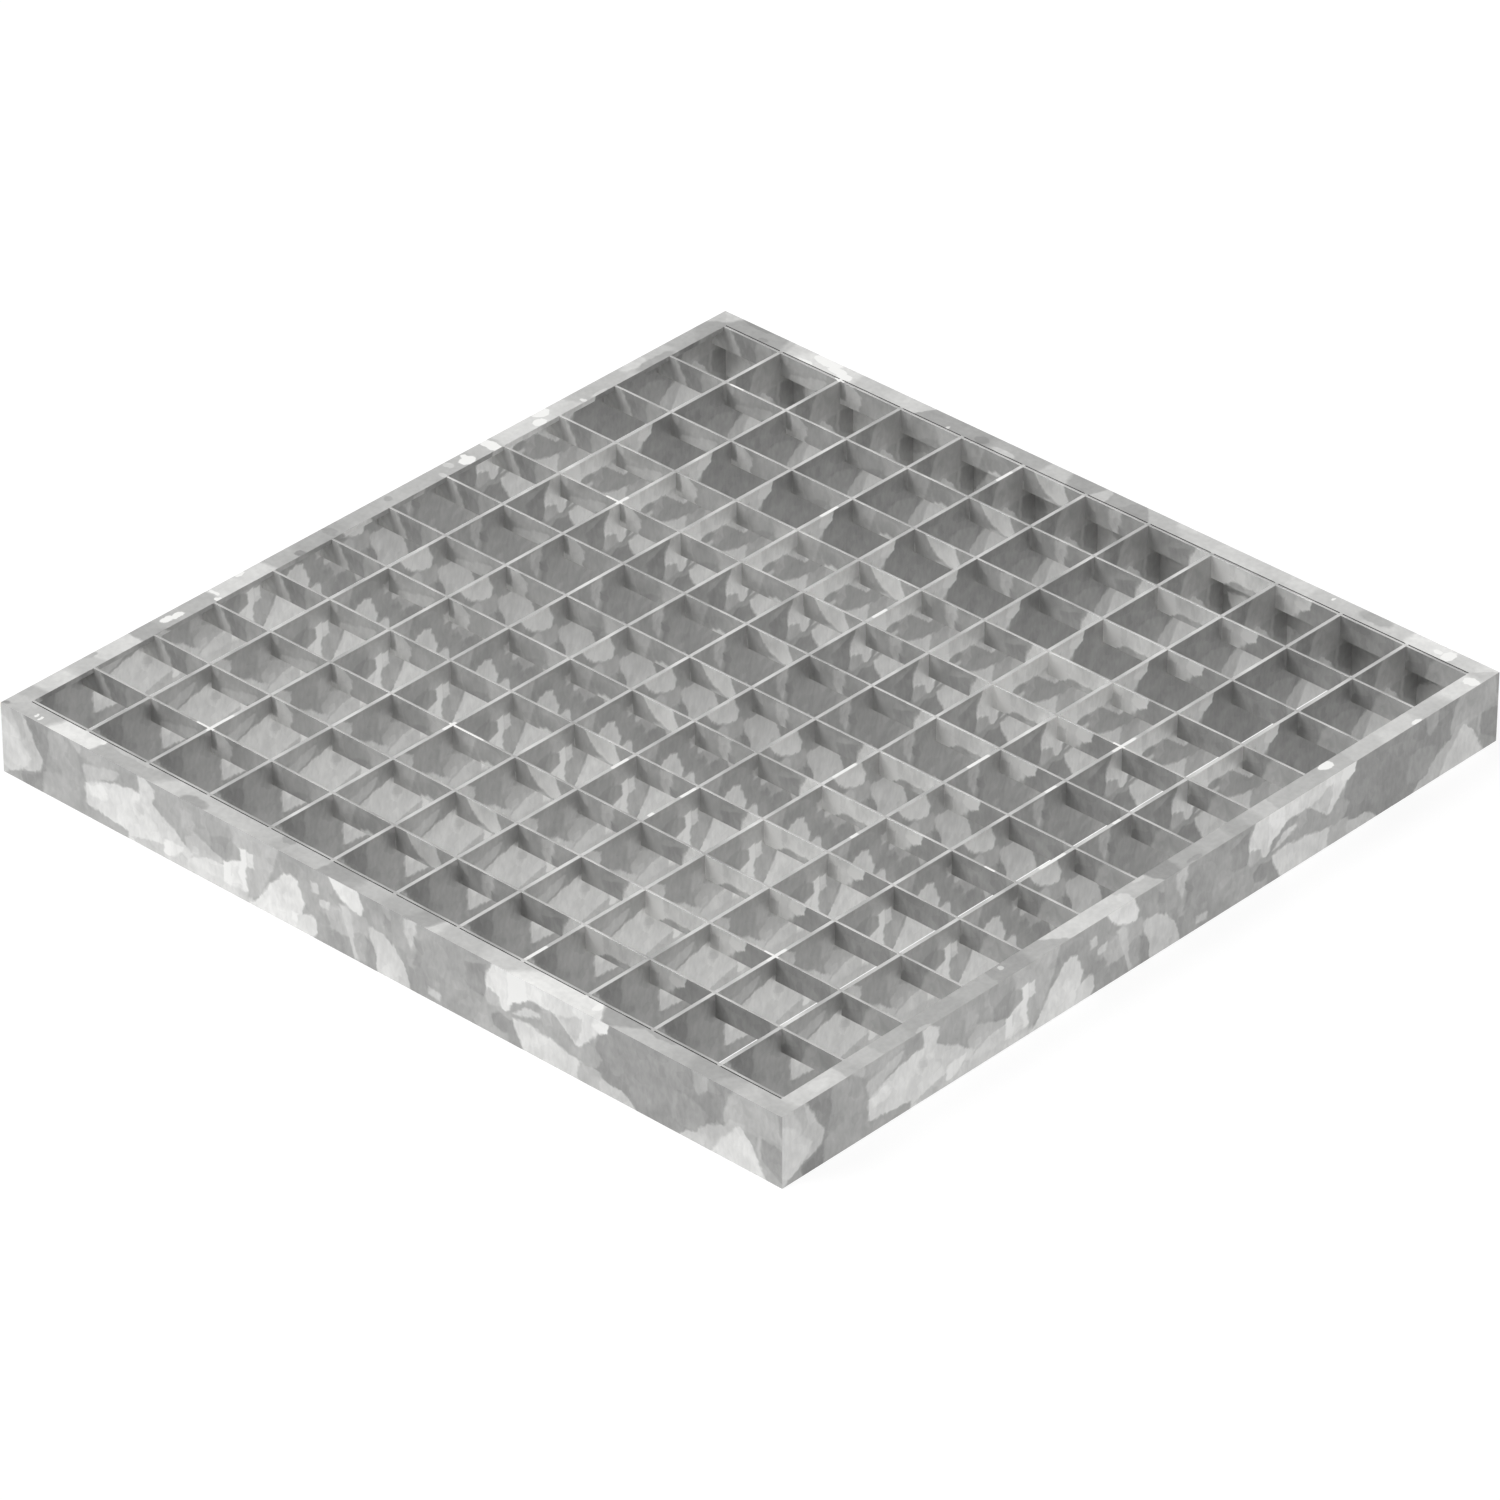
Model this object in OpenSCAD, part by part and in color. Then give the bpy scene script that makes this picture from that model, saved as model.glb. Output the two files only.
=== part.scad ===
// Press-locked steel grating panel: a square mesh of upright bearing bars and shallow
// cross bars, closed on all four sides by mitred angle lengths whose flange points inwards.
// X runs across the bearing bars, Y along them. The origin is under the panel's centre.

/* [Panel] */
// Outside width, across the bearing bars
panel_w = 390; // [300:1:600]
// Outside length, along the bearing bars
panel_l = 390; // [300:1:600]
// Overall height, which is also the depth of a bearing bar
panel_h = 30; // [20:1:50]

/* [Mesh] */
// Clear opening between two bearing bars
mesh_w = 30; // [20:0.5:50]
// Clear opening between two cross bars
mesh_l = 30; // [20:0.5:50]

/* [Bearing bars] */
// Thickness of a bearing bar
bearing_t = 1.5; // [1:0.1:4]

/* [Cross bars] */
// Thickness of a cross bar
cross_t = 1; // [0.8:0.1:3]
// Depth of a cross bar, measured down from the panel's top
cross_h = 10; // [6:0.5:15]

/* [Edge angle] */
// Width of the edge angle's flange, seen from above
flange_w = 8; // [6:0.5:12]
// Thickness of the flange, seen from the side
flange_t = 2; // [1.5:0.1:4]
// Thickness of the upright web
web_t = 2; // [1.5:0.1:4]

/* [Hidden] */

// Bars stand at one pitch each way
bearing_pitch = mesh_w + bearing_t;
cross_pitch = mesh_l + cross_t;

// Clear space between the flanges, and between the webs below them
clear_w = panel_w - 2 * flange_w;
clear_l = panel_l - 2 * flange_w;
web_gap_w = panel_w - 2 * web_t;
web_gap_l = panel_l - 2 * web_t;

// The bearing bars leave an end opening no wider than the mesh beside each flange.
// The cross bars fill the whole length, so the outermost two stand close to the flanges.
count_slack = 0.001;
bearing_count = ceil((clear_w - mesh_w) / bearing_pitch - count_slack);
cross_count = floor((clear_l - cross_t) / cross_pitch + count_slack) + 1;

// Positions of count bars at one pitch, centred on zero
function centred(count, pitch) = [for (i = [0 : count - 1]) (i - (count - 1) / 2) * pitch];

// One flat bar along X, standing on edge with its top face at the top of the panel.
// Both ends are notched to pass under the flange and meet the web.
module flat_bar(length, depth, thickness) {
    notch = flange_w - web_t;
    half = length / 2;
    shoulder = panel_h - flange_t;
    translate([0, thickness / 2, 0])
        rotate([90, 0, 0])
            linear_extrude(thickness)
                polygon([
                    [-half, panel_h - depth], [half, panel_h - depth],
                    [half, shoulder], [half - notch, shoulder],
                    [half - notch, panel_h], [notch - half, panel_h],
                    [notch - half, shoulder], [-half, shoulder]
                ]);
}

module bearing_bar() {
    rotate([0, 0, 90])
        flat_bar(web_gap_l, panel_h, bearing_t);
}

module cross_bar() {
    flat_bar(web_gap_w, cross_h, cross_t);
}

// The pressed mesh: every bar crosses the others flush at the top, locked into one piece
module bar_grid() {
    color("darkgray")
        union() {
            for (x = centred(bearing_count, bearing_pitch))
                translate([x, 0, 0])
                    bearing_bar();
            for (y = centred(cross_count, cross_pitch))
                translate([0, y, 0])
                    cross_bar();
        }
}

// Section of the edge angle: the web stands at the outside, the flange points inwards
module angle_section() {
    polygon([
        [0, 0], [web_t, 0], [web_t, panel_h - flange_t],
        [flange_w, panel_h - flange_t], [flange_w, panel_h], [0, panel_h]
    ]);
}

// One length of edge angle along X with its outer face at Y = 0 and both ends mitred
module edge_angle(length) {
    half = length / 2;
    color("silver")
        intersection() {
            translate([-half, 0, 0])
                rotate([90, 0, 90])
                    linear_extrude(length)
                        angle_section();
            linear_extrude(panel_h)
                polygon([
                    [-half, 0], [half, 0],
                    [half - flange_w, flange_w], [flange_w - half, flange_w]
                ]);
        }
}

module edge_front() {
    translate([0, -panel_l / 2, 0])
        edge_angle(panel_w);
}

module edge_back() {
    rotate([0, 0, 180])
        translate([0, -panel_l / 2, 0])
            edge_angle(panel_w);
}

module edge_left() {
    rotate([0, 0, -90])
        translate([0, -panel_w / 2, 0])
            edge_angle(panel_l);
}

module edge_right() {
    rotate([0, 0, 90])
        translate([0, -panel_w / 2, 0])
            edge_angle(panel_l);
}

bar_grid();
edge_front();
edge_back();
edge_left();
edge_right();
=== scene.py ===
import math
import bmesh
import bpy
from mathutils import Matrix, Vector


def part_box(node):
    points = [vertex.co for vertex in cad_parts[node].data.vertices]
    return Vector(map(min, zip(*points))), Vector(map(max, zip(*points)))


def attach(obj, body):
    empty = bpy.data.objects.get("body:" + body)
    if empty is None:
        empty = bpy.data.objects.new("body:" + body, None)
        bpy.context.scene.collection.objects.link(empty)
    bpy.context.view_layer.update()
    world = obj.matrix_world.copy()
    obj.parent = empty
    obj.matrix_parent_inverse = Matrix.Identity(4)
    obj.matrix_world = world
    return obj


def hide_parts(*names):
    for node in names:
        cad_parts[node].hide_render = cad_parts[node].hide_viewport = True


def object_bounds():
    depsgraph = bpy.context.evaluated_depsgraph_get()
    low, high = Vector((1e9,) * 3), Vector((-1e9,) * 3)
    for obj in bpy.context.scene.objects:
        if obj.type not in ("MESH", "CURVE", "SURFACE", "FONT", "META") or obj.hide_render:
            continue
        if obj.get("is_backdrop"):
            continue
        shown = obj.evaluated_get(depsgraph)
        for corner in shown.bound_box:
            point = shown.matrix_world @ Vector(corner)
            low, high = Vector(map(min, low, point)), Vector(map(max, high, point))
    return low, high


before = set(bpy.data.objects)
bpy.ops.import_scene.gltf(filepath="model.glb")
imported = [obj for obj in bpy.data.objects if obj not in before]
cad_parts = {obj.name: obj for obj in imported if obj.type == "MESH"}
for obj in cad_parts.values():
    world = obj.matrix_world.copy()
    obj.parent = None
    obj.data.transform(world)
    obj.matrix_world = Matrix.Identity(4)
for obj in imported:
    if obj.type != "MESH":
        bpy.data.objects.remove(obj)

# The start-up scene's own objects aren't part of the model.
for name in ("Cube", "Light", "Camera"):
    if name in bpy.data.objects:
        bpy.data.objects.remove(bpy.data.objects[name])

LO, HI = (Vector(corner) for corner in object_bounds())
MM = 0.001

# Sizes of the steel, in metres
HEIGHT = HI.z - LO.z
FLANGE_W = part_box("edge_front")[1][1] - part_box("edge_front")[0][1]
WEB_T, FLANGE_T = 2 * MM, 2 * MM     # as in the part's source
ROUND, LIP = 0.35 * MM, 0.15 * MM    # corner radii of the angle, and of its flange's lip
BAR_EDGE = 0.06 * MM                 # width of the broken edges of the bars
STATIONS = 24                        # lengths that each angle's skin is cut into


def add_object(name, data):
    """A new object in the scene."""
    thing = bpy.data.objects.new(name, data)
    bpy.context.scene.collection.objects.link(thing)
    return thing


# ---------------------------------------------------------------- camera

def add_camera(aim, towards, distance, lens):
    """A long lens far off, looking along towards at aim, with no roll and no shift."""
    data = bpy.data.cameras.new("camera")
    data.lens, data.sensor_width, data.clip_end = lens, 36.0, 50.0
    camera = add_object("camera", data)
    towards = Vector(towards).normalized()
    camera.location = Vector(aim) - towards * distance
    camera.rotation_euler = towards.to_track_quat("-Z", "Y").to_euler()
    bpy.context.scene.camera = camera


add_camera(aim=(-0.00131, 0.00038, 0.00181), towards=(-0.57172, 0.61651, -0.54135),
           distance=3.4792, lens=226.06)


# ---------------------------------------------------------------- shader helpers

class Tree:
    """A node tree, with one short call for each kind of node."""

    def __init__(self, tree):
        self.tree = tree
        tree.nodes.clear()

    def node(self, kind, inputs=None, **props):
        n = self.tree.nodes.new("ShaderNode" + kind)
        for key, value in props.items():
            setattr(n, key, value)
        for key, value in (inputs or {}).items():
            self.put(n.inputs[key], value)
        return n

    def put(self, socket, value):
        """Links a socket to another node's output, or sets it to a plain value."""
        if isinstance(value, bpy.types.NodeSocket):
            self.tree.links.new(value, socket)
        else:
            socket.default_value = value

    def math(self, operation, *values):
        return self.node("Math", dict(enumerate(values)), operation=operation).outputs[0]

    def vec(self, operation, *values):
        n = self.node("VectorMath", dict(enumerate(values)), operation=operation)
        return n.outputs["Value" if operation in ("DOT_PRODUCT", "LENGTH") else "Vector"]

    def split(self, vector):
        n = self.node("SeparateXYZ", {0: vector})
        return n.outputs[0], n.outputs[1], n.outputs[2]

    def join(self, x, y, z):
        return self.node("CombineXYZ", {0: x, 1: y, 2: z}).outputs[0]

    def ramp(self, value, low, high, to_low=0.0, to_high=1.0, kind="SMOOTHSTEP"):
        n = self.node("MapRange", {0: value, 1: low, 2: high, 3: to_low, 4: to_high},
                      interpolation_type=kind)
        return n.outputs[0]

    def mix(self, factor, a, b):
        return self.node("Mix", {0: factor, 2: a, 3: b}).outputs[0]

    def shader_mix(self, factor, a, b):
        return self.node("MixShader", {0: factor, 1: a, 2: b}).outputs[0]

    def noise(self, vector, scale, detail, roughness=0.5, space="3D", colour=False):
        n = self.node("TexNoise", {"Vector": vector, "Scale": scale, "Detail": detail,
                                   "Roughness": roughness}, noise_dimensions=space)
        return n.outputs["Color" if colour else "Fac"]

    def wobble(self, vector, scale, detail, size):
        """The flat vector moved about by noise, by up to half of size each way."""
        noise = self.noise(vector, scale, detail, 0.55, "2D", colour=True)
        offset = self.vec("SUBTRACT", noise, (0.5, 0.5, 0.5))
        return self.vec("MULTIPLY_ADD", offset, size, vector)

    def cells(self, vector, scale):
        """A random number for each small crystal."""
        n = self.node("TexVoronoi", {"Vector": vector, "Scale": scale},
                      voronoi_dimensions="2D")
        return self.split(n.outputs["Color"])[0]

    def ellipse(self, place, u, v, half_u, half_v):
        """How far place is from an ellipse's middle, where 1 is its outline."""
        return self.vec("LENGTH", self.vec("MULTIPLY_ADD", place, (1 / half_u, 1 / half_v, 0),
                                           (-u / half_u, -v / half_v, 0)))

    def seen(self):
        """1 for rays from the camera, straight or by way of a mirror or glass, and else 0."""
        path = self.node("LightPath").outputs
        seen = self.math("MAXIMUM", path["Is Camera Ray"], path["Is Glossy Ray"])
        return self.math("MAXIMUM", seen, path["Is Transmission Ray"])


def new_material(name, kind=Tree):
    """A material and its emptied node tree."""
    material = bpy.data.materials.new(name)
    material.use_nodes = True
    return material, kind(material.node_tree)


# ---------------------------------------------------------------- where the zinc's marks are

# All lengths in this section are millimetres, and tones are brightness as displayed, 0 to 1.
HALF = round(HI.x / MM, 3)              # from the middle to the outer faces
FLANGE = round(FLANGE_W / MM, 3)
SLOT = HALF - FLANGE - 0.2              # in the slot between an end cross bar and the flange
SLOT_EDGE = (0.35, 0.45)                # how far from there its painted shade starts to fade, and ends
CROSS_PITCH, CROSS_REACH = 31, 0.6      # reach is half a cross bar's thickness and a little
FAR = 1000                              # well past the ends

# The zinc's spangle on upright faces: soft-edged patches laid over each other in order, on
# a ground of tone MID. Each has a tone and the corners of a convex outline, along the face
# from its middle and up. The faces are shaded in sections that end at SECTIONS, so that
# each point works out only the patches near it.
MID = 0.69
SOFT = 1.1                              # how wide a patch's soft edge is
SECTIONS = (-115, -65, 0, 65, 115)
PATCHES = [
    # from -196 to -130
    (0.63, (-185, 31), (-168.5, 31), (-170, 18), (-172, 9), (-173, -1), (-184, -1)),
    (0.605, (-184, 31), (-177.5, 31), (-175.5, 24), (-178, 18)),
    (0.605, (-184, 2.5), (-174, 8.5), (-173.3, -1), (-184, -1)),
    (0.665, (-170, 17), (-165, 17.5), (-163.5, 14), (-167, 12), (-171, 12)),
    (0.70, (-172.5, 9), (-163, 12), (-155, 10), (-154, 0), (-173.5, 0)),
    (0.675, (-153.7, 26), (-151.7, 26), (-150.5, 14), (-150, -1), (-153.5, -1)),
    (0.785, (-196, 31), (-184, 31), (-173.8, 14), (-174.8, 9.5), (-185, 5), (-196, 0)),
    (0.74, (-190, 31), (-184.5, 31), (-182, 21), (-184, 19)),
    (0.835, (-196, 26), (-190, 22), (-180, 11.5), (-184, 6.5), (-191, 2.3), (-196, 4)),
    (0.78, (-158.5, 31), (-150, 31), (-153.8, 26)),
    (0.725, (-152.5, 31), (-133, 31), (-132.5, 25), (-142, 25), (-152.5, 21)),
    (0.78, (-152, 21), (-140, 25), (-133.5, 25.8), (-136.5, 21), (-141, 18.5), (-150, 14.8)),
    (0.68, (-151, 15), (-141, 19.2), (-134, 24.3), (-130, 24), (-131, 21), (-150, 12)),
    (0.695, (-151, 7), (-135, 5.5), (-126, -1), (-149, -1)),
    # from -130 to -65
    (0.70, (-116, 31), (-75, 31), (-74, 13), (-96, 8), (-112, 18)),
    (0.69, (-112, 21), (-106, 22), (-102, 17), (-103, 13), (-111, 18)),
    (0.735, (-101, 25), (-96, 25), (-93.5, 20), (-95, 17.5), (-100, 18.5)),
    (0.73, (-90, 28), (-87.5, 27), (-88, 23.5), (-89.7, 24)),
    (0.655, (-86, 20), (-80, 22), (-74.3, 22.8), (-74.3, 17), (-78, 14), (-85, 14.5)),
    (0.775, (-99, 14), (-93, 17), (-86, 15), (-79.5, 12.3), (-84, 8), (-97, 7.5)),
    (0.87, (-151, 13.7), (-138, 19.8), (-127, 21.7), (-127, 4), (-137, 4.2), (-149.5, 6.3)),
    (0.87, (-128, 21.7), (-117, 20.5), (-109, 15), (-109, 4), (-120, -1), (-128, -1)),
    (0.92, (-149, 13.7), (-141.5, 16.6), (-140, 12.5), (-143, 10.5), (-148, 11)),
    (0.825, (-123.5, 18), (-121, 19), (-120.5, 15), (-123, 13)),
    (0.80, (-126, 1), (-109, 6), (-109, 0), (-118, -1)),
    (0.845, (-122.6, 29.5), (-119, 30), (-115.2, 27), (-115, 23), (-116.7, 19.5), (-121, 19.5)),
    (0.86, (-120.7, 23), (-117, 23.5), (-116.5, 21), (-120.5, 20.5)),
    (0.83, (-117, 20), (-111, 17.5), (-96, 7.5), (-97, 5), (-109, 7), (-115, 13)),
    (0.825, (-110, 4.5), (-66, 5), (-64, -1), (-108, -1)),
    (0.85, (-107, 12), (-104, 13), (-95.5, 7.5), (-98, 6), (-107, 8)),
    (0.91, (-109.3, 8.7), (-103, 8.5), (-97.5, 9), (-101, 6.5), (-102, 2.7), (-109.3, 2.7)),
    (0.955, (-109.3, 7), (-107.3, 7.5), (-107.5, 2.8), (-109.3, 2.7)),
    (0.85, (-97, 7.5), (-88, 9), (-78.3, 13.3), (-78.3, 4.5), (-97, 4.5)),
    (0.82, (-95.3, 11.3), (-92.6, 11.5), (-92.5, 9), (-95, 8.7)),
    (0.895, (-79, 12), (-75.5, 13.5), (-73.5, 17.5), (-69.5, 19.5), (-69, 4.5), (-79, 4)),
    (0.975, (-78.6, 12.5), (-75.8, 12.2), (-75.8, 6), (-78.5, 5.7)),
    (0.755, (-75, 31), (-65, 31), (-66.5, 20), (-74, 23)),
    (0.94, (-70, 21.5), (-66.8, 22), (-66.6, 5), (-69.3, 5)),
    # from -65 to 0
    (0.75, (-66.8, 31), (-50.5, 31), (-52, 24), (-61, 6), (-66.8, 3)),
    (0.88, (-66.8, 21), (-64, 21), (-64, 16), (-66.8, 16)),
    (0.68, (-50.5, 31), (-45, 31), (-49, 20), (-61, 4), (-62.5, 6), (-52.5, 23)),
    (0.69, (-48, 31), (-24, 31), (-14, 21), (-14, -1), (-32, -1), (-40, 14)),
    (0.665, (-49, 27), (-42, 27), (-41, 21), (-47, 21)),
    (0.74, (-26, 17.5), (-17, 18.5), (-15, 12), (-16, 8), (-24, 8), (-27, 13)),
    (0.66, (-31, 12), (-27, 13), (-25.5, 10), (-27, 8.5), (-31, 9)),
    (0.665, (-26, 7.5), (-14, 8), (-13, -1), (-26, -1)),
    (0.65, (-26, 4), (-23.5, 4.3), (-23.3, 1.7), (-26, 1.5)),
    (0.87, (-61, 4.5), (-49, 20), (-45, 21.8), (-40.8, 20), (-38.7, 13), (-41, -1)),
    (0.89, (-66, 1.2), (-60, 5), (-52, 11), (-44, 12), (-42, -1), (-66, -1)),
    (0.86, (-41, 6), (-35, 8.7), (-32.7, 8), (-32, 4), (-34, -1), (-42, -1)),
    (0.94, (-43.2, 6), (-41.6, 6.2), (-41.5, 4), (-43.2, 3.8)),
    (0.82, (-33.5, 24.2), (-31, 24.2), (-30.7, 21), (-33.3, 20.5)),
    (0.81, (-29.3, 18), (-25, 18.3), (-25, 15.7), (-29.5, 15.5)),
    (0.905, (-25, 31), (-23, 27), (-14.5, 20.8), (-9.5, 20.3), (-8, 24), (-11, 31)),
    (0.75, (-19, 20), (-6.5, 20), (-6, 14), (-8, 8), (-14, 8)),
    (0.795, (-19, 20.5), (-15.5, 20.5), (-13.5, 13), (-9.5, 2), (-12.5, 1.5), (-16.5, 13)),
    (0.70, (-12, 11), (-9, 12.5), (-6.8, 9), (-7.5, 3), (-10, 1.5), (-12, 6)),
    (0.69, (-7.5, 31), (5, 31), (6, 18), (5, 14), (0, 17), (-6, 20)),
    (0.645, (-6.8, 12), (-3.5, 10.5), (-0.8, 6), (-0.5, -1), (-5.5, -1)),
    # from 0 to 65
    (0.73, (2, 31), (6, 31), (6, 26), (2.5, 27)),
    (0.64, (3, 26), (5.5, 24.5), (6.3, 17), (5, 14.5), (3.3, 17)),
    (0.81, (-5.5, 17), (-3, 18.5), (1, 17), (8, 14.5), (2, 4), (-3, 10.5)),
    (0.815, (0, 15), (7.5, 15), (11, 9.5), (17, -1), (-0.8, -1), (-0.8, 6)),
    (0.685, (5.8, 31), (12.3, 31), (13, 14), (8, 15.5), (6.3, 24)),
    (0.67, (18, 31), (57.5, 31), (52, 20), (49, -1), (17, -1), (12, 12)),
    (0.65, (10.5, 15), (14.5, 15), (17, 8), (19, -1), (16.5, -1)),
    (0.695, (12.7, 31), (19.2, 31), (18.7, 15), (17.5, 9.5), (15.5, 10), (13, 22)),
    (0.78, (12.7, 29), (19, 30), (18, 22.5), (15.5, 18.5), (13.3, 22)),
    (0.64, (18.5, 23), (21, 23), (20.5, 12), (18, 12)),
    (0.69, (34, 16), (38, 18.5), (45, 15), (46, 8), (40, 5.5), (34, 7)),
    (0.625, (43, 24), (53, 27.5), (51.5, 14), (44, 16)),
    (0.775, (24.5, 5), (29.5, 5), (29.5, 2.5), (24.5, 2.5)),
    (0.70, (27, 9.5), (29, 9.7), (29, 7.7), (27.2, 7.5)),
    (0.88, (57.5, 31), (52.7, 21), (53.3, 18), (61.5, 12.5), (72, 19), (72, 31)),
    (0.705, (52, 18), (61, 13), (67, 12), (67, -1), (48.5, -1), (51, 10)),
    (0.755, (54, 18), (58, 17.5), (60, 13.5), (54, 12.5), (53, 15)),
    (0.625, (56.5, 8), (60, 10.5), (64.5, 9), (64, 5), (60, 4), (57, 5)),
    # from 65 to 130
    (0.62, (112, 31), (168, 31), (164, 14), (146, -1), (126, -1), (103, 10)),
    (0.685, (66, 19), (71, 21), (85, 24), (98, 15), (99, 7), (66, 10)),
    (0.69, (97.5, 14), (104, 19), (109, 14), (105, 9), (98, 8)),
    (0.93, (64, 31), (64, 16), (68, 19), (74, 22), (73.5, 31)),
    (0.875, (73, 31), (112, 31), (110.5, 26), (102, 20.5), (88, 22), (73, 21.5)),
    (0.875, (88, 22.5), (106, 23), (98.5, 14.5), (96, 15.5), (91, 19.5)),
    (0.805, (89, 22), (97, 25.5), (100, 26), (98, 19), (97, 15.5), (92, 18.5)),
    (0.925, (106, 31), (112, 31), (111.5, 26), (107.5, 24.5), (105, 26)),
    (0.83, (67.5, 13.5), (72, 18), (79.5, 18.8), (80, 17), (74, 15.5), (69, 13)),
    (0.735, (80, 21), (84, 22), (84.5, 17), (82, 15), (80.5, 17)),
    (0.64, (64, 9), (67, 9.5), (74, -1), (64, -1)),
    (0.845, (66.5, 10.5), (73, 12), (99, 8), (99, -1), (73, -1), (66.5, 9)),
    (0.74, (98.5, 8), (108, 7.5), (110, 5), (109, -1), (98.5, -1)),
    (0.785, (109, 5.3), (119, 4.7), (126, -1), (109, -1)),
    # from 130 to 196
    (0.66, (143, 15), (150, 18), (160, 15), (158, 8), (150, 4), (143, 6)),
    (0.69, (153, 31), (161, 31), (160, 24), (156, 21.5), (153.5, 24)),
    (0.625, (161, 31), (171, 31), (171, 27), (167, 14), (160, 16)),
    (0.715, (170, 27), (176, 31), (196, 31), (196, 12), (177, 15), (167, 13)),
    (0.695, (175, 29), (186, 30), (186, 23), (178, 24)),
    (0.65, (193.3, 31), (196, 31), (196, 21), (194.5, 22)),
    (0.77, (145, -1), (157, 7), (168, 13.7), (174, 17), (176, -1)),
    (0.76, (168, 14), (171, 17.5), (177, 17.8), (176, 12), (170, 9)),
    (0.84, (161, -1), (171, 13), (177, 17.5), (180, 12), (184, 8.5), (194.5, -1)),
    (0.675, (177.5, 14.5), (181, 16), (184, 15), (184.5, 8.5), (181, 12), (178, 12.5)),
    (0.735, (184, 17), (186.3, 17), (186, 8), (184.5, 8)),
    (0.645, (186, 16), (195, 15), (195, 2), (190, 5), (186, 7.5)),
]

# Tread face of the four flanges, with u along each one's length on X or Y, and v inwards
# from the outer edge. Bands follow each other: tone, where the band starts at the outer
# edge and at the lip, and how wide the change is. The first starts before the end.
BANDS = {
    "front": [
        (0.76, -197, -197, 1), (0.745, -185, -183, 3), (0.875, -171, -168, 3),
        (0.72, -148, -146, 1.5), (0.80, -116, -110, 4), (0.775, -103, -103, 5),
        (0.755, -66, -66, 6), (0.72, -57, -55, 3), (0.755, -50, -49, 2),
        (0.665, -31.5, -30.5, 1), (0.695, -19, -19, 3), (0.755, -12.5, -13, 3),
        (0.715, 1, -1, 4), (0.675, 13, 14, 4), (0.80, 23, 26, 1.5), (0.755, 29, 28, 2),
        (0.79, 50, 49, 6), (0.87, 63, 72, 4), (0.68, 109, 104, 1.5), (0.76, 113, 125, 3),
        (0.72, 139, 139, 6), (0.68, 150, 148, 3), (0.72, 163, 167, 3), (0.77, 172, 172, 3),
        (0.745, 180, 181, 3),
    ],
    "back": [
        (0.78, -197, -197, 1), (0.67, -185, -189, 2), (0.75, -161, -159, 2),
        (0.81, -157, -156, 2), (0.84, -148, -152, 4), (0.77, -122, -121, 3),
        (0.80, -107, -105, 4), (0.665, -84, -88, 1), (0.70, -51, -51, 2),
        (0.765, -24, -25, 1.5), (0.67, -13.5, -10.5, 1.5), (0.77, 4, 1, 1), (0.68, 7, 9, 1),
        (0.65, 19, 15, 1), (0.745, 24, 31, 1), (0.785, 39, 46, 3), (0.805, 61, 61, 2),
        (0.79, 84, 84, 8), (0.81, 96, 97, 1), (0.77, 109, 109, 1.5), (0.79, 140, 133, 3),
        (0.86, 155, 155, 2), (0.80, 177, 176, 2), (0.83, 187, 188, 2),
    ],
    "left": [
        (0.775, -197, -197, 1), (0.73, -187, -185, 3), (0.82, -179, -178, 2),
        (0.765, -163, -163, 3), (0.825, -150, -149, 1.5), (0.695, -130, -130, 1),
        (0.73, -119, -118, 3), (0.825, -90, -89, 1), (0.72, -61, -60, 2),
        (0.695, -46, -48, 3), (0.72, -20, -20, 4), (0.745, 2, -4, 6), (0.73, 20, 20, 8),
        (0.755, 49, 49, 4), (0.825, 63, 62, 2), (0.80, 92, 92, 4), (0.745, 102, 106, 1.5),
        (0.76, 131, 131, 4), (0.71, 160, 160, 1.5), (0.67, 177, 170, 2),
        (0.76, 184, 190, 1.5),
    ],
    "right": [
        (0.745, -197, -197, 1), (0.805, -187, -187, 3), (0.735, -162, -161, 1),
        (0.755, -152, -154, 4), (0.72, -143, -143, 1.5), (0.69, -128, -126, 3),
        (0.715, -100, -100, 4), (0.66, -83, -82, 1), (0.71, -64, -64, 4),
        (0.815, -44, -54, 1.5), (0.755, -10, -14, 1), (0.63, 6, 3, 1), (0.70, 15.5, 17, 1.5),
        (0.72, 30, 30, 4), (0.69, 44, 46, 3), (0.72, 54, 54, 3), (0.775, 61, 61, 3),
        (0.73, 69, 71, 1), (0.77, 112, 113, 1.5), (0.80, 130, 130, 4), (0.765, 151, 150, 2),
        (0.84, 169, 166, 5), (0.775, 185, 186, 3),
    ],
}

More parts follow.
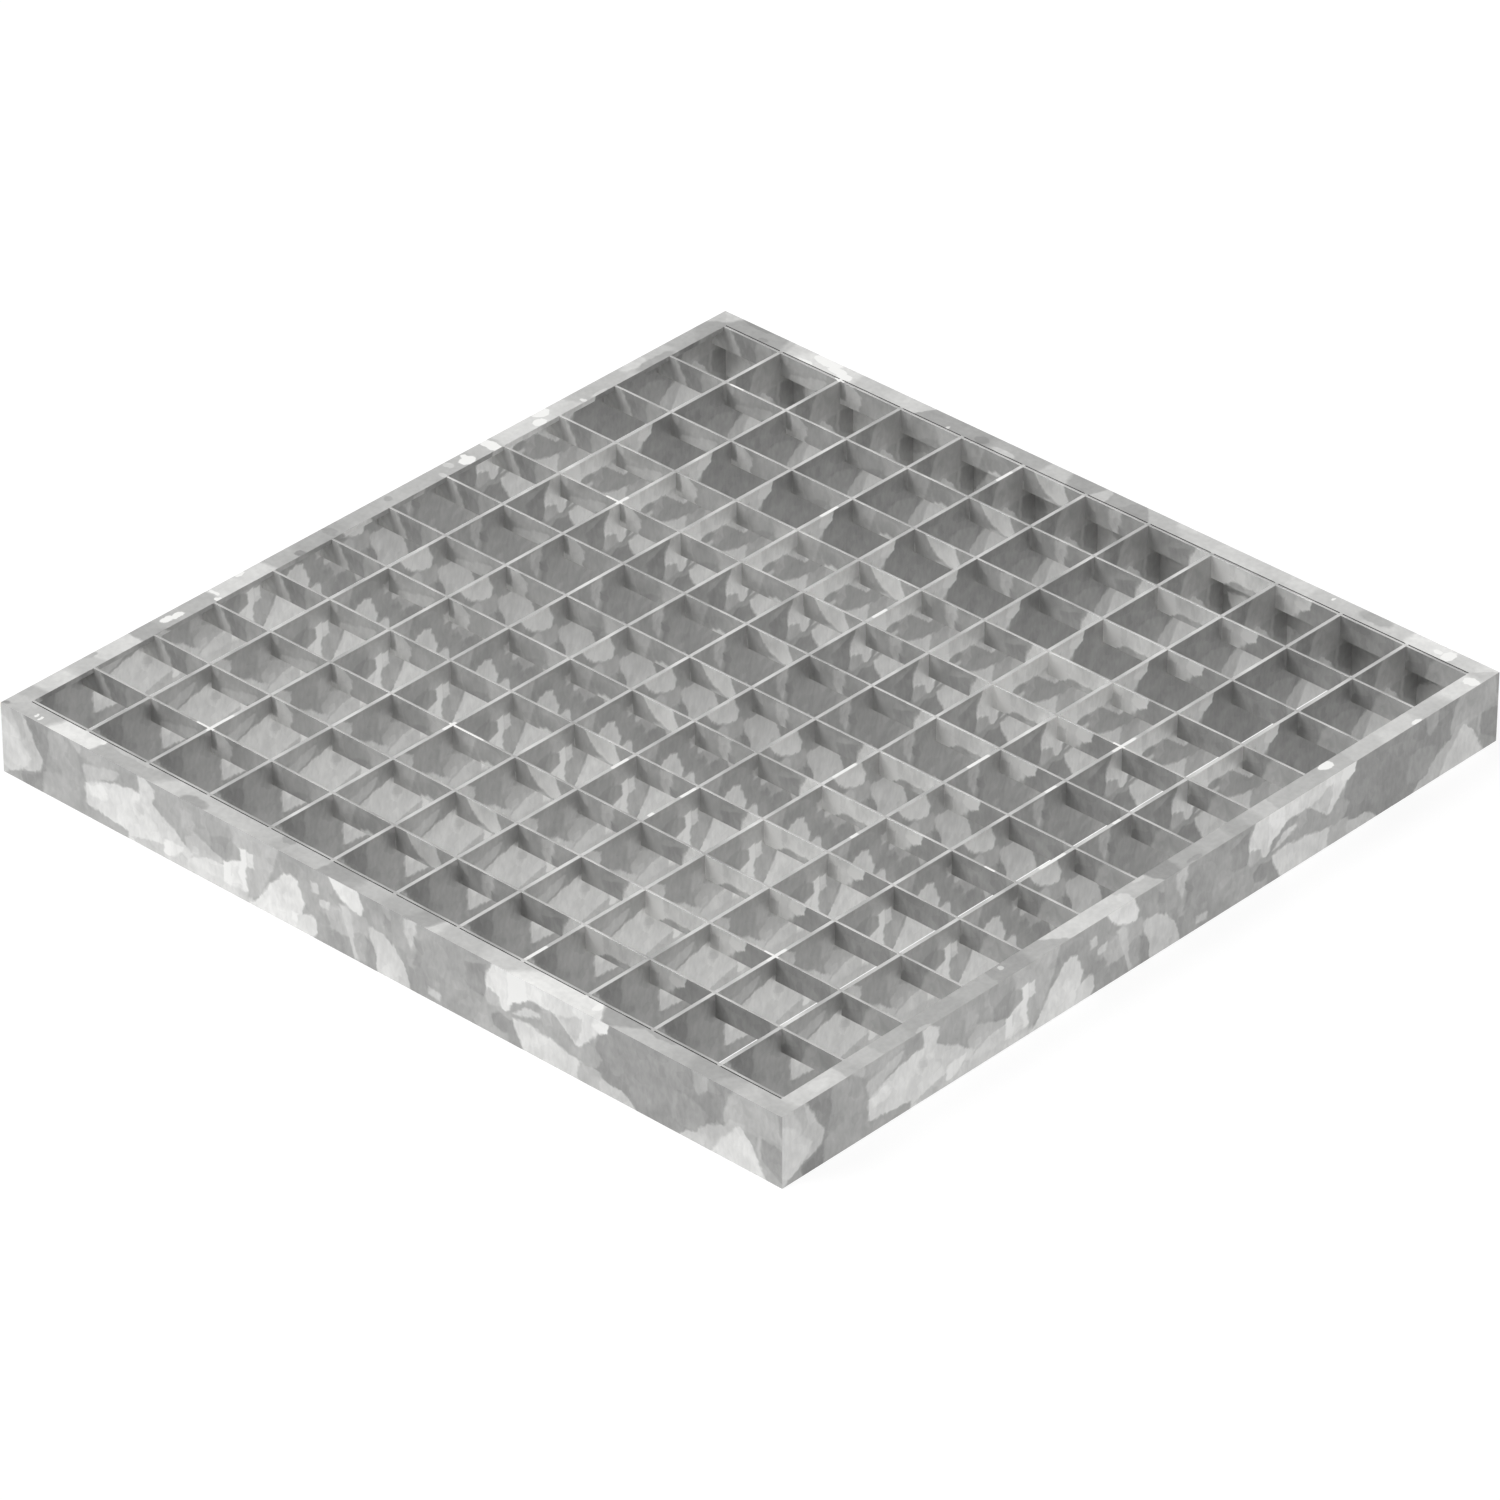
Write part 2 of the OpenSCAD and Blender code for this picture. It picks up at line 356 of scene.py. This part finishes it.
# White blooms and other spots on the flanges: tone, u and v of the middle, half lengths.
SPOT_EDGE = (1.15, 0.8)                 # where a spot starts and is full, as shares of its size
SPOTS = {
    "front": [
        (0.67, -95, 1.2, 6.5, 3.4), (0.67, -52, 6.8, 3, 1.8), (0.90, -147.5, 7, 1.5, 1.4),
        (0.77, -131, 7.4, 12, 1.2), (0.95, -178.8, 3.1, 0.7, 1.2), (0.97, -176.3, 2.6, 0.8, 1.4),
        (0.99, 102.5, 5.5, 1.4, 2.4), (0.69, 131, 7.6, 8, 1.8), (0.66, -194, 3, 2.2, 2.5),
    ],
    "back": [
        (0.62, -176, 0.5, 8, 1.6), (0.62, -168.5, 6.6, 2.4, 1.4), (0.99, -138.5, 1.2, 6.5, 3.6),
        (0.99, -131, 4.6, 4.5, 2.2), (1.0, -126.5, 6, 3.6, 2.2), (0.90, -146, 7.4, 4, 1.2),
        (0.84, -71.5, 7.2, 0.8, 1.2), (0.61, -55.5, 5.4, 3.2, 2.8), (0.78, -43.5, 6.6, 6, 1.7),
        (0.80, 45, 1.4, 5, 1.6), (0.90, 117.5, 2.6, 0.8, 1.1), (0.70, 138, 2.4, 8, 3.4),
        (1.0, 174.5, 4.4, 2.4, 3.2), (0.96, 169.5, 4.6, 2, 0.9),
    ],
    "left": [
        (0.64, -195, 2, 3, 2), (0.73, -150, 0.8, 3, 1.5), (0.97, -113.5, 3.4, 2.8, 1.9),
        (0.97, -109, 4.2, 3.4, 1.5), (0.95, -88.2, 3, 1, 2.6), (0.93, -90.3, 7, 1.2, 1.2),
        (0.98, -72.5, 0.6, 2.6, 1), (0.60, -46.5, 6.6, 2.2, 2.2), (0.65, -28, 3.6, 2.4, 3.6),
        (0.68, 4, 3, 2, 1.8), (0.80, 37.2, 2.4, 1.8, 2.4), (0.80, 30.6, 6.2, 1.2, 2),
        (0.98, 44.8, 5.2, 3.8, 2.8), (0.96, 46, 2.2, 1.4, 1.6), (0.99, 59, 4, 2.6, 5.5),
        (1.0, 84, 5.8, 3, 2.4), (1.0, 89.4, 1.4, 3.8, 2.8), (0.87, 107.5, 6.6, 1, 1.8),
        (0.81, 116, 7.2, 4.5, 1), (0.81, 140, 2, 7, 2.6), (0.685, 148, 6.6, 11, 2.6),
    ],
    "right": [
        (0.83, -172, 4, 5, 3), (0.75, -122, 0.6, 4, 1.2), (0.80, -75.5, 5.9, 1, 1),
        (0.83, -12.5, 3, 2.8, 3.6), (0.79, 0, 7.4, 3, 1.2), (0.65, 24, 1.6, 4, 1.2),
        (0.97, 102.6, 6.2, 3.4, 2.2), (0.93, 148, 0.9, 2.6, 1.3), (1.0, 182.6, 3.4, 2.4, 3.2),
    ],
}

# Painted highlights, white dashes along the tops of the bars: X and Y of the middle and the half
# lengths.
HIGHLIGHT_DASH_EDGE = (1.1, 0.9)
HIGHLIGHT_DASH_TONE = 0.95
HIGHLIGHT_DASHES = [
    (-126, -150, 1.6, 7), (-126, 63.5, 1.6, 3.5), (-63, -94.5, 1.6, 3.5), (-63, 111, 1.6, 5),
    (-31.5, 175.5, 1.6, 4.5), (0, -70.5, 1.6, 4.5), (0, 70, 1.6, 4), (31.5, -68, 1.6, 4),
    (31.5, -87.5, 1.6, 1.5), (63, -179, 1.6, 5), (63, -18.5, 1.6, 6.5), (94.5, -48, 1.6, 2),
    (94.5, 19, 1.6, 6), (126, -123, 1.6, 5), (126, 23, 1.6, 3), (126, 63.5, 1.6, 6.5),
    (157.5, -12, 1.6, 7), (157.5, 23, 1.6, 2), (-128.5, -155, 4.5, 1.2),
    (124, -124, 3, 1.2), (-55, -93, 8, 1.2), (144.5, -31, 2.5, 1.2), (-129, 62, 4, 1.2),
    (124.5, 62, 2.5, 1.2), (-151.5, 155, 3.5, 1.2), (-126, 186, 2.5, 1.2),
]


# ---------------------------------------------------------------- galvanised steel

DISPLAY_GAMMA = 2.2                     # turns a tone into light
TINT = (1.0, 0.998, 0.985)              # zinc is a little warm
METALLIC = 0.7
PALEST = 0.925                          # cap on the tone, so that white spots seldom clip
WEAR_AND_HIGHLIGHT_TONE, WEAR_AND_HIGHLIGHT_SHARE = 0.88, 0.5       # edges rubbed paler, and a painted highlight on the rounded edges
BEARING_TONE, CROSS_TONE = 0.80, 0.755  # tops of the bars
SLOT_SHADE = 0.58                            # painted shade: brightness left in the slot beside a flange
DARK_TO_PALE = (0.6, 0.95)              # tones that the roughness goes by
UPRIGHT_ROUGH = (0.62, 0.50)            # of dark zinc and of pale
TREAD_ROUGH = (0.88, 0.90)              # worn dull by feet, so that low light doesn't glare
CLOUD_ROUGH = 0.25                      # how much the cloud changes the roughness
# How much each kind of noise changes the tone, on upright faces and on flat ones
CLOUD, CRYSTALS, STREAKS = 0.16, 0.03, 0.06
FLAT_CLOUD, DRIFT, GRAIN, GRAIN_SHIFT = 0.12, 0.25, 0.05, -0.003
OUTWARD = {"front": (0, -1, 0), "back": (0, 1, 0), "left": (-1, 0, 0), "right": (1, 0, 0)}


class ZincTree(Tree):
    """Dull hot-dip zinc: patches on the upright faces, pale and dull areas on the flat ones.
    Only the branch for the face and section in hand is worked out at each point."""

    def __init__(self, tree):
        super().__init__(tree)
        self.place = self.vec("MULTIPLY", self.node("TexCoord").outputs["Object"],
                              (1 / MM, 1 / MM, 1 / MM))
        self.x, self.y, self.z = self.split(self.place)
        normal = self.node("NewGeometry").outputs["True Normal"]
        nx, ny, nz = self.split(self.vec("ABSOLUTE", normal))
        self.faces_x = self.math("GREATER_THAN", nx, ny)
        # nz is 0 on upright faces and 1 on flat ones. Between them are the rounded edges.
        self.faces_z = self.math("GREATER_THAN", nz, 0.8)
        self.edge = self.math("MULTIPLY", self.ramp(nz, 0.15, 0.3), self.ramp(nz, 0.95, 0.85))
        cloud = self.noise(self.place, scale=0.10, detail=2.0, roughness=0.55)
        self.cloud = self.math("SUBTRACT", cloud, 0.5)
        height = self.noise(self.place, scale=0.9, detail=2.0, roughness=0.7)
        bump = self.node("Bump", {"Strength": 0.3, "Distance": 0.1 * MM, "Height": height})
        self.bumped = bump.outputs[0]

    def zinc(self, tone, roughness):
        """Shader of one tone, with edges paler for wear and a painted highlight. Its roughness
        runs from dark zinc's to pale's.
        """
        wear_and_highlight = self.math("MULTIPLY", self.edge, WEAR_AND_HIGHLIGHT_SHARE)
        tone = self.mix(wear_and_highlight, tone, WEAR_AND_HIGHLIGHT_TONE)
        light = self.math("POWER", self.math("MINIMUM", tone, PALEST), DISPLAY_GAMMA)
        rough = self.ramp(tone, *DARK_TO_PALE, *roughness, kind="LINEAR")
        shader = self.node("BsdfPrincipled", {
            "Base Color": self.vec("MULTIPLY", self.join(light, light, light), TINT),
            "Metallic": METALLIC,
            "Roughness": self.math("MULTIPLY_ADD", self.cloud, CLOUD_ROUGH, rough),
            "Normal": self.bumped})
        return shader.outputs[0]

    def patch_tone(self, alongs, ups, tone, patch):
        """Lays one patch over tone. Its sides are half planes, worked out three to a vector,
        so alongs and ups hold their number three times."""
        value, corners = patch[0], patch[1:]
        centre = [sum(c) / len(corners) for c in zip(*corners)]
        sides = []
        for (u0, z0), (u1, z1) in zip(corners, corners[1:] + corners[:1]):
            du, dz = u1 - u0, z1 - z0
            size = math.hypot(du, dz) * SOFT
            if (centre[0] - u0) * dz - (centre[1] - z0) * du > 0:
                size = -size
            sides.append((dz / size, -du / size, (du * z0 - dz * u0) / size))
        sides += sides[:-len(sides) % 3]
        past = (0, 0, 0)
        for first in range(0, len(sides), 3):
            a, b, c = zip(*sides[first:first + 3])
            out = self.vec("MULTIPLY_ADD", alongs, a, self.vec("MULTIPLY_ADD", ups, b, c))
            past = self.vec("MAXIMUM", out, past)
        return self.mix(self.vec("LENGTH", past), value, tone)

    def upright(self):
        """Upright faces: the patches, with edges that wander, and mottled with crystals."""
        along = self.mix(self.faces_x, self.x, self.y)
        moved = self.join(along, self.z, 0.0)
        moved = self.wobble(moved, scale=0.13, detail=1.0, size=(2.6, 2.4, 0))
        moved = self.wobble(moved, scale=0.5, detail=1.0, size=(1.1, 1.4, 0))
        along, up, _ = self.split(moved)
        crystals = self.math("SUBTRACT", self.cells(moved, scale=0.22), 0.5)
        drawn_out = self.vec("MULTIPLY", moved, (1, 0.4, 1))
        streaks = self.noise(drawn_out, scale=0.6, detail=1.0, space="2D")
        streaks = self.math("SUBTRACT", streaks, 0.5)
        mottle = self.math("MULTIPLY", crystals, CRYSTALS)
        mottle = self.math("MULTIPLY_ADD", self.cloud, CLOUD, mottle)
        mottle = self.math("MULTIPLY_ADD", streaks, STREAKS, mottle)

        # Painted shade in the slot, on the faces that look across it.
        from_middle = self.math("ABSOLUTE", self.y)
        from_slot = self.math("ABSOLUTE", self.math("SUBTRACT", from_middle, SLOT))
        unshaded = self.mix(self.faces_x, self.ramp(from_slot, *SLOT_EDGE, SLOT_SHADE, 1.0), 1.0)

        alongs, ups = self.join(along, along, along), self.join(up, up, up)
        shader = None
        for low, high in zip((-FAR,) + SECTIONS, SECTIONS + (FAR,)):
            tone = MID
            for patch in PATCHES:
                reach = [corner[0] for corner in patch[1:]]
                if min(reach) - SOFT < high and max(reach) + SOFT > low:
                    tone = self.patch_tone(alongs, ups, tone, patch)
            tone = self.math("MULTIPLY", self.math("ADD", tone, mottle), unshaded)
            section = self.zinc(tone, UPRIGHT_ROUGH)
            if shader is None:
                shader = section
            else:
                shader = self.shader_mix(self.math("GREATER_THAN", along, low), shader, section)
        return shader

    def bar_tops(self, level, mottle):
        """Tops of the bars, with painted highlights as white dashes. level is the place on the
        flat.
        """
        drift = self.noise(level, scale=0.05, detail=1.0, space="2D")
        drift = self.math("SUBTRACT", drift, 0.5)
        from_cross = self.math("PINGPONG", self.y, CROSS_PITCH / 2)
        on_cross = self.math("LESS_THAN", from_cross, CROSS_REACH)
        tone = self.mix(on_cross, BEARING_TONE, CROSS_TONE)
        tone = self.math("MULTIPLY_ADD", drift, DRIFT, tone)
        nearest = self.ellipse(level, *HIGHLIGHT_DASHES[0])
        for highlight_dash in HIGHLIGHT_DASHES[1:]:
            nearest = self.math("MINIMUM", nearest, self.ellipse(level, *highlight_dash))
        tone = self.mix(self.ramp(nearest, *HIGHLIGHT_DASH_EDGE), tone, HIGHLIGHT_DASH_TONE)
        return self.zinc(self.math("ADD", tone, mottle), TREAD_ROUGH)

    def flange_tone(self, place, side):
        """Tone of one flange's tread face at place, a vector of u, v and 1."""
        tone = BANDS[side][0][0]
        for value, outer, inner, width in BANDS[side][1:]:
            slant = (inner - outer) / FLANGE
            past = self.vec("DOT_PRODUCT", place, (1 / width, -slant / width, 0.5 - outer / width))
            tone = self.mix(past, tone, value)
        for value, *shape in SPOTS[side]:
            tone = self.mix(self.ramp(self.ellipse(place, *shape), *SPOT_EDGE), tone, value)
        return tone

    def flat(self):
        """Faces that look up or down: the tops of the bars, and each flange up to the mitres."""
        level = self.join(self.x, self.y, 0.0)
        mottle = self.math("MULTIPLY", self.cloud, FLAT_CLOUD)
        shader = self.bar_tops(level, mottle)
        moved = self.wobble(level, scale=0.35, detail=2.0, size=(1.8, 1.8, 0))
        x, y, _ = self.split(moved)
        grain = self.noise(moved, scale=0.45, detail=1.0, space="2D")
        grain = self.math("MULTIPLY_ADD", grain, GRAIN, GRAIN_SHIFT)
        mottle = self.math("ADD", grain, mottle)
        for side, out in OUTWARD.items():
            u = x if out[1] else y
            v = self.math("SUBTRACT", HALF, self.vec("DOT_PRODUCT", moved, out))
            tone = self.flange_tone(self.join(u, v, 1.0), side)
            # Each flange reaches a little past its mitre.
            mitre = self.math("MULTIPLY", self.math("ABSOLUTE", u), 0.999)
            here = self.math("GREATER_THAN", self.vec("DOT_PRODUCT", self.place, out),
                             self.math("MAXIMUM", mitre, SLOT))
            flange = self.zinc(self.math("ADD", tone, mottle), TREAD_ROUGH)
            shader = self.shader_mix(here, shader, flange)
        return shader


def zinc_material(name):
    """One material for all the steel: it tells the faces apart by their normals."""
    material, t = new_material(name, ZincTree)
    surface = t.shader_mix(t.faces_z, t.upright(), t.flat())
    t.node("OutputMaterial", {"Surface": surface})
    return material


ZINC = zinc_material("galvanised")


# ---------------------------------------------------------------- pieces

def add_piece(name, bm, slot, *nodes):
    """Finishes a piece: mesh, material and body, and hides the CAD nodes that it stands for. slot
    is not used.
    """
    mesh = bpy.data.meshes.new(name)
    bmesh.ops.recalc_face_normals(bm, faces=bm.faces)
    bm.to_mesh(mesh)
    bm.free()
    mesh.materials.append(ZINC)
    piece = add_object(name, mesh)
    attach(piece, "root")
    if nodes:
        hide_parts(*nodes)


def rounded(corners, steps=3):
    """The outline through (across, up, radius) corners, with its outward ones rounded."""
    outline = []
    for i, (across, up, radius) in enumerate(corners):
        corner = Vector((across, up))
        before = (Vector(corners[i - 1][:2]) - corner).normalized()
        after = (Vector(corners[(i + 1) % len(corners)][:2]) - corner).normalized()
        if before.cross(after) > 0:
            outline.append(corner)
            continue
        for k in range(steps + 1):
            angle = k / steps * math.pi / 2
            arm = before * (1 - math.sin(angle)) + after * (1 - math.cos(angle))
            outline.append(corner + arm * radius)
    return outline


def edge_angle(name):
    """One rolled angle: its section swept along the side, ends cut to the mitre."""
    low, high = (Vector(corner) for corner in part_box(name))
    under = HEIGHT - FLANGE_T
    section = rounded([(0, 0, ROUND), (0, HEIGHT, ROUND), (FLANGE_W, HEIGHT, LIP),
                       (FLANGE_W, under, LIP), (WEB_T, under, ROUND), (WEB_T, 0, ROUND)])
    size = high - low
    runs_x = size.x > size.y
    length = max(size.x, size.y)
    # The front and left lengths stand at the negative end of their axis.
    side = 1 if (low.y if runs_x else low.x) < -length / 4 else -1
    bm = bmesh.new()
    rings = []
    for k in range(STATIONS + 1):
        ring = []
        for p in section:
            reach = length / 2 - p.x
            u = reach * (2 * k / STATIONS - 1)
            v = side * (p.x - length / 2)
            ring.append(bm.verts.new((u, v, p.y) if runs_x else (v, u, p.y)))
        rings.append(ring)
    for a, b in zip(rings, rings[1:]):
        for i in range(len(section)):
            j = (i + 1) % len(section)
            bm.faces.new((a[i], a[j], b[j], b[i]))
    bm.faces.new(rings[0])
    bm.faces.new(rings[-1])
    add_piece(name + "_angle", bm, "galvanised_edge", name)


def dress_grid(grid):
    """The CAD's own grid, in zinc and with its sharp edges broken."""
    grid.data.materials.clear()
    grid.data.materials.append(ZINC)
    weld = grid.modifiers.new("weld", "WELD")
    weld.merge_threshold = 0.001 * MM
    bevel = grid.modifiers.new("zinc_edges", "BEVEL")
    bevel.width, bevel.segments = BAR_EDGE, 2
    bevel.limit_method, bevel.angle_limit = "ANGLE", math.radians(30)


for node in ("edge_front", "edge_back", "edge_left", "edge_right"):
    edge_angle(node)
dress_grid(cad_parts["bar_grid"])


# ---------------------------------------------------------------- floor and light

def add_floor(shade, glow, plain):
    """A floor that the camera sees as white with faint shadows. Diffuse rays find it plain."""
    bm = bmesh.new()
    bmesh.ops.create_grid(bm, x_segments=1, y_segments=1, size=12)
    mesh = bpy.data.meshes.new("floor")
    bm.to_mesh(mesh)
    bm.free()
    material, t = new_material("floor")
    seen = t.seen()
    unseen = t.node("BsdfDiffuse", {"Color": (plain, plain, plain, 1)})
    shaded = t.node("BsdfDiffuse", {"Color": (shade, shade, shade, 1)})
    white = t.node("Emission", {"Color": (1, 1, 1, 1), "Strength": glow})
    lifted = t.node("AddShader", {0: shaded.outputs[0], 1: white.outputs[0]})
    surface = t.shader_mix(seen, unseen.outputs[0], lifted.outputs[0])
    t.node("OutputMaterial", {"Surface": surface})
    mesh.materials.append(material)
    floor = add_object("floor", mesh)
    floor.location.z = LO.z - 0.2 * MM
    floor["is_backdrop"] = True


def add_world(strength):
    """Weak light from all round, from a sky that the camera and mirrors see as white."""
    world = bpy.data.worlds.new("studio")
    bpy.context.scene.world = world
    world.use_nodes = True
    t = Tree(world.node_tree)
    level = t.mix(t.seen(), strength, 1.0)
    back = t.node("Background", {"Color": (1, 1, 1, 1), "Strength": level})
    t.node("OutputWorld", {"Surface": back.outputs[0]})


def add_sun(name, towards, strength, angle):
    """A far lamp shining along towards, as wide as angle degrees."""
    data = bpy.data.lights.new(name, "SUN")
    data.energy, data.angle = strength, math.radians(angle)
    sun = add_object(name, data)
    sun.rotation_euler = Vector(towards).to_track_quat("-Z", "Y").to_euler()


add_floor(shade=0.22, glow=0.88, plain=0.80)
add_world(strength=0.1)
add_sun("key", towards=(0.43, 0.61, -0.66), strength=2.25, angle=35)
add_sun("fill", towards=(-0.754, 0.133, -0.643), strength=0.74, angle=50)

bpy.context.scene.view_settings.view_transform = "Standard"
